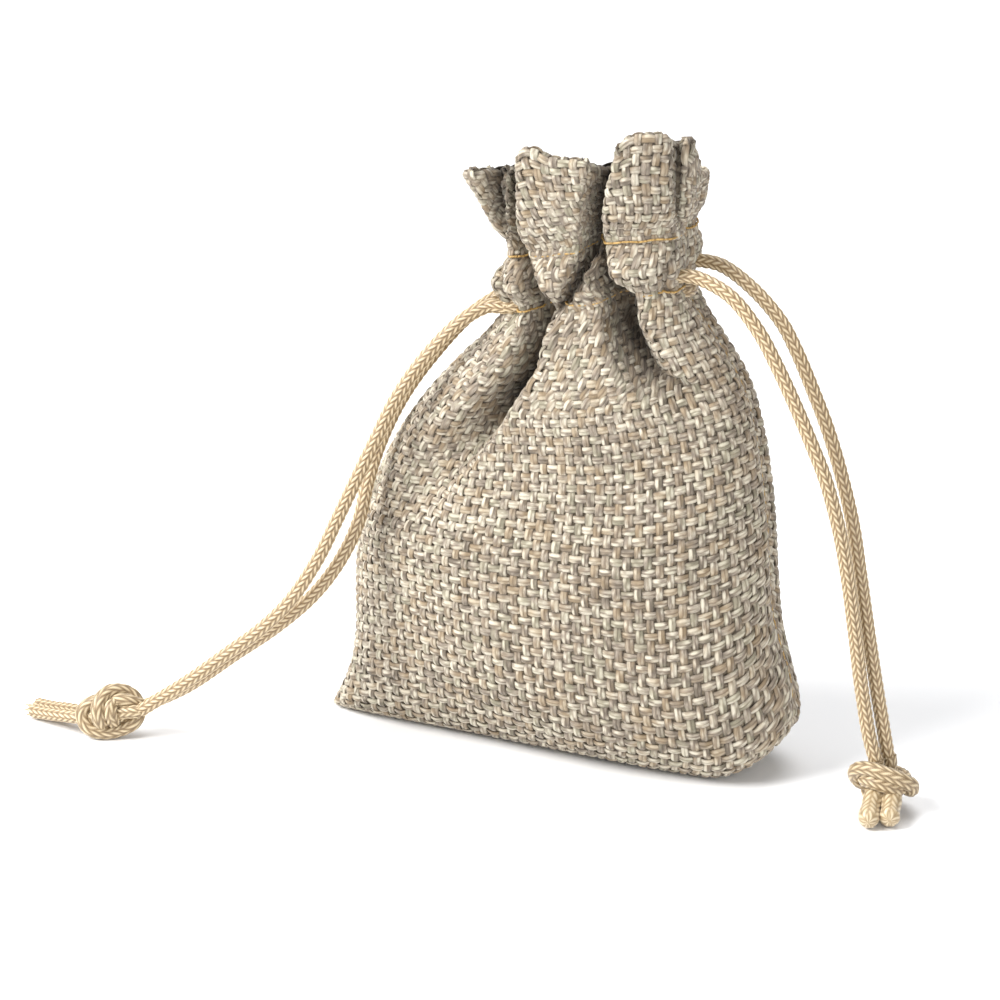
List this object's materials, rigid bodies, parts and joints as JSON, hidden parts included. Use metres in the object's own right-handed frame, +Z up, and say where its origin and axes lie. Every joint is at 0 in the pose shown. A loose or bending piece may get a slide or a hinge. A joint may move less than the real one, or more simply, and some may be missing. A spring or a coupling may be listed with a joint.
{
  "type": "drawstring gift pouch",
  "caption": "Small coarse-weave cloth gift pouch, filled and standing, its neck gathered in a sewn channel by opposed braided drawstrings with knotted ends.",
  "frame": {"origin": "middle of the pouch's box without its free cords, on the surface that it stands on", "axes": "+Z up; +X along the pouch's width, towards the side where the upper drawstring comes out; -Y is the front"},
  "size_m": [0.1709, 0.0537, 0.1237],
  "materials": {
    "linen_cloth": "matt coarse plain weave of heathered yarns",
    "satin_cord": "satin braid",
    "sewing_thread": "twisted polyester thread"
  },
  "bodies": {
    "root": {"front_panel": "linen_cloth", "back_panel": "linen_cloth", "left_side_seam": "linen_cloth", "right_side_seam": "linen_cloth", "left_seam_thread": "sewing_thread", "right_seam_thread": "sewing_thread", "front_channel": "linen_cloth", "back_channel": "linen_cloth", "front_facing": "linen_cloth", "back_facing": "linen_cloth", "front_upper_stitching": "sewing_thread", "back_upper_stitching": "sewing_thread", "front_lower_stitching": "sewing_thread", "back_lower_stitching": "sewing_thread"},
    "header": {"front_header": "linen_cloth", "back_header": "linen_cloth"},
    "left_drawstring": {"left_channel_cord": "satin_cord"},
    "left_pull": {"left_front_strand": "satin_cord", "left_back_strand": "satin_cord", "left_knot": "satin_cord", "left_front_tail": "satin_cord", "left_back_tail": "satin_cord"},
    "right_drawstring": {"right_channel_cord": "satin_cord"},
    "right_pull": {"right_front_strand": "satin_cord", "right_back_strand": "satin_cord", "right_knot": "satin_cord", "right_front_tail": "satin_cord", "right_back_tail": "satin_cord"}
  },
  "joints": [
    {"name": "header_lean", "type": "hinge", "parent": "root", "child": "header", "pos_m": [0.0068, 0, 0.1016], "axis": [0.9903, 0, 0.1387], "range_deg": [-10, 10], "stiffness_Nm_per_rad": 0.004},
    {"name": "left_draw", "type": "slide", "parent": "root", "child": "left_drawstring", "axis": [-1, 0, 0], "range_m": [0, 0.005]},
    {"name": "right_draw", "type": "slide", "parent": "root", "child": "right_drawstring", "axis": [1, 0, 0], "range_m": [0, 0.005]},
    {"name": "left_lift", "type": "hinge", "parent": "left_drawstring", "child": "left_pull", "pos_m": [-0.0087, 0, 0.08628], "axis": [0, 1, 0], "range_deg": [0, 35]},
    {"name": "right_lift", "type": "hinge", "parent": "right_drawstring", "child": "right_pull", "pos_m": [0.0223, 0, 0.09572], "axis": [0, -1, 0], "range_deg": [0, 35]}
  ]
}
